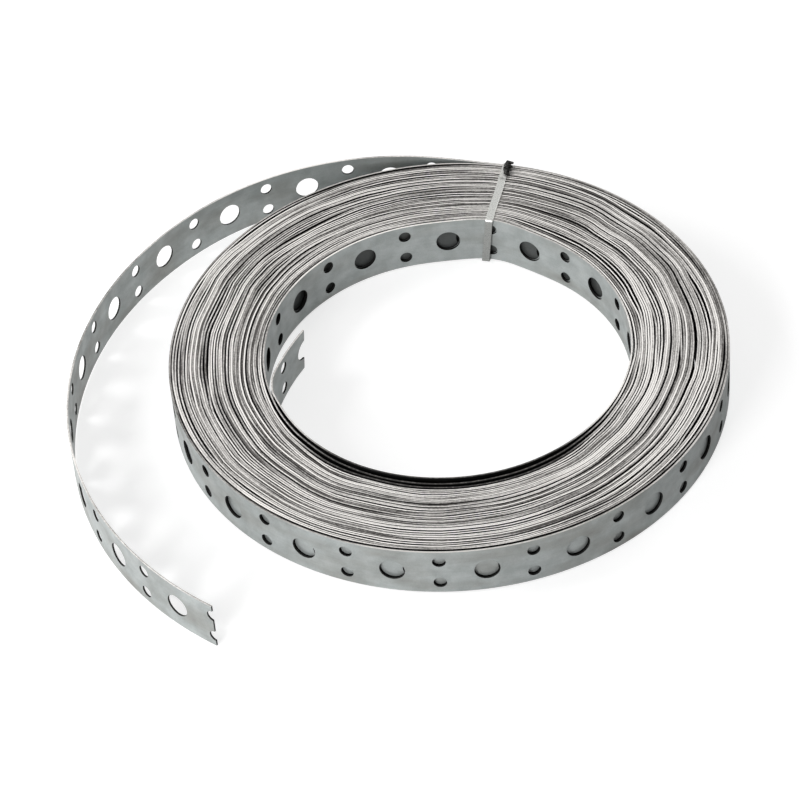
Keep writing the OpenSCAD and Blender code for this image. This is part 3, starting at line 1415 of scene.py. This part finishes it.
        # painted shade in the dint, and the loop darker towards the bottom
        dint = self.pressed(drawn, self.dint_shade_size) * (drawn[:, 2] > high)
        above, fade = self.lower_dark_from
        down = self.lower_dark * smoothstep((high + above - drawn[:, 2]) / fade)
        add_mark(loop.data, "dint_shade_and_lower_dark", np.maximum(dint, down))
        (one, faces), (other, more) = self.twisted(high, 1), self.twisted(high, -1)
        faces = faces + [[i + len(one) for i in face] for face in more]
        ends = turned(np.concatenate([one, other]), self.angle)
        twist = mesh_piece("binding_tie_twist", ends, faces, self.sharp)
        twist.data.materials.append(ShadedTwistSteel().material())
        return [loop, twist]


# ---------------------------------------------------------------- studio


def background_rays(tree: bpy.types.NodeTree) -> tuple[bpy.types.NodeSocket, bpy.types.Node]:
    """Tell the rays that show the background from those that light the object.

    Args:
        tree: Nodes of the world or the floor.

    Returns:
        1 for a ray that a metal mirrors, and 1 for one that sees the background itself.
    """
    path = add(tree, "LightPath").outputs
    direct = {0: path["Is Camera Ray"], 1: path["Is Transmission Ray"]}
    return path["Is Glossy Ray"], add(tree, "Math", direct, operation="MAXIMUM")


@dataclass(frozen=True)
class Lamp:
    """Soft square lamp, in metres and watts."""

    name: str
    place: Triple
    size: float
    power: float


@dataclass
class Studio:
    """White floor, white surroundings, soft lamps and the camera, in metres and degrees."""

    lens: float = 152.5
    sensor: float = 36.0
    distance: float = 1.2463
    elevation: float = 44.42
    roll: float = -3.91
    shift: Span = (-0.0639, -0.0174)
    lamps: tuple[Lamp, ...] = (
        Lamp("key", (-0.85, -1.35, 0.6), 0.5, 21.0),
        Lamp("left", (-1.3, 0.15, 0.85), 0.6, 12.0),
        Lamp("back", (1.05, 1.1, 0.85), 0.7, 9.0),
    )
    # the surroundings get brighter towards one side, and metal mirrors them brighter still
    bright_side: Triple = (-0.66, 0.12, 0.74)
    surround: Span = (0.08, 0.45)
    mirrored: Span = (0.5, 0.95)
    # the floor glows a little, so that it is white where it is lit and not in shadow
    floor_half: float = 4.0
    floor_colour: str = "b9b9b9"
    floor_seen: float = 0.66
    floor_unlit: Span = (0.7, 1.5)
    floor_mirrored: Span = (0.46, 0.01)
    floor_fades: float = 0.16

    def make_world(self) -> None:
        """White all round to the camera, and softer light on the object."""
        world = bpy.data.worlds.new("white_surround")
        bpy.context.scene.world = world
        tree = empty_nodes(world)
        way = add(tree, "TexCoord").outputs["Generated"]
        side = add(tree, "VectorMath", {0: way, 1: self.bright_side}, operation="DOT_PRODUCT")
        around, shown = [
            add(tree, "MapRange", {0: side.outputs["Value"], **remap((-1.0, 1.0), levels)})
            for levels in (self.surround, self.mirrored)
        ]
        glossy, direct = background_rays(tree)
        light = add(tree, "Mix", {0: glossy, 2: around, 3: shown})
        strength = add(tree, "Mix", {0: direct, 2: light, 3: 1.0})
        glow = add(tree, "Background", {"Color": linear("ffffff"), "Strength": strength})
        add(tree, "OutputWorld", {"Surface": glow})

    def make_floor(self) -> None:
        """White floor that keeps the object's shadow."""
        half = self.floor_half / MM
        corners = np.array([(-half, -half, 0), (half, -half, 0), (half, half, 0), (-half, half, 0)])
        floor = mesh_piece("floor", corners, [[0, 1, 2, 3]], TURN / 2)
        material = bpy.data.materials.new("matt_white_board")
        tree = empty_nodes(material)
        matt = add(tree, "BsdfDiffuse", {"Color": linear(self.floor_colour)})
        place = add(tree, "TexCoord").outputs["Object"]
        glossy, direct = background_rays(tree)
        # metal mirrors the board on one side of the coil more than on the other
        across = add(tree, "SeparateXYZ", {0: place})
        sides = remap((-self.floor_fades, self.floor_fades), self.floor_mirrored)
        shown = add(tree, "MapRange", {0: across, **sides})
        mirrored = add(tree, "Math", {0: glossy, 1: shown}, operation="MULTIPLY")
        # past the lamps' reach the board glows more, so that it stays white to the horizon
        away = add(tree, "VectorMath", {0: place}, operation="LENGTH").outputs["Value"]
        glow_levels = remap(self.floor_unlit, (self.floor_seen, 1.0))
        level = add(tree, "MapRange", {0: away, **glow_levels})
        seen = add(tree, "Math", {0: direct, 1: level}, operation="MULTIPLY")
        strength = add(tree, "Math", {0: mirrored, 1: seen}, operation="ADD")
        glow = add(tree, "Emission", {"Color": linear("ffffff"), "Strength": strength})
        both = add(tree, "AddShader", {0: matt, 1: glow})
        add(tree, "OutputMaterial", {"Surface": both})
        floor.data.materials.append(material)

    def make_lamps(self) -> None:
        """Hang each lamp so that it faces the coil."""
        for lamp in self.lamps:
            data = bpy.data.lights.new(lamp.name, "AREA")
            data.size = lamp.size
            data.energy = lamp.power
            rig = bpy.data.objects.new(lamp.name, data)
            rig.location = lamp.place
            rig.rotation_euler = (-Vector(lamp.place)).to_track_quat("-Z", "Y").to_euler()
            bpy.context.scene.collection.objects.link(rig)

    def make_camera(self) -> None:
        """Place the camera at the front, above the coil."""
        el, roll = math.radians(self.elevation), math.radians(self.roll)
        data = bpy.data.cameras.new("camera")
        data.lens = self.lens
        data.sensor_width = self.sensor
        data.shift_x, data.shift_y = self.shift
        camera = bpy.data.objects.new("camera", data)
        tilt = Matrix.Rotation(math.pi / 2 - el, 4, "X") @ Matrix.Rotation(roll, 4, "Z")
        place = (0, -self.distance * math.cos(el), self.distance * math.sin(el))
        camera.matrix_world = Matrix.Translation(place) @ tilt
        bpy.context.scene.collection.objects.link(camera)
        bpy.context.scene.camera = camera

    def build(self) -> None:
        """Set up the whole studio."""
        self.make_world()
        self.make_floor()
        self.make_lamps()
        self.make_camera()
        bpy.context.scene.view_settings.view_transform = "Standard"


# ---------------------------------------------------------------- main


def main() -> None:
    """Build every piece in order."""
    logging.basicConfig(level=logging.INFO, format="%(name)s: %(message)s")
    Studio().build()
    low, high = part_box("perforated_strap")
    base, top = low.z / MM, high.z / MM
    strap = StrapCoil(StripSize(width=top - base), CoilSize(), 7)
    piece = strap.build(base)
    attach(piece, "root")
    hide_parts("perforated_strap")
    piece.data.calc_loop_triangles()
    triangles = len(piece.data.loop_triangles)
    LOG.info("%s: %d triangles, %.1f m", piece.name, triangles, strap.route.total * MM)
    for piece in FlatTie().build(base, top):
        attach(piece, "root")
        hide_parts("binding_tie")
        LOG.info("%s: %d faces", piece.name, len(piece.data.polygons))


if __name__ == "__main__":
    main()
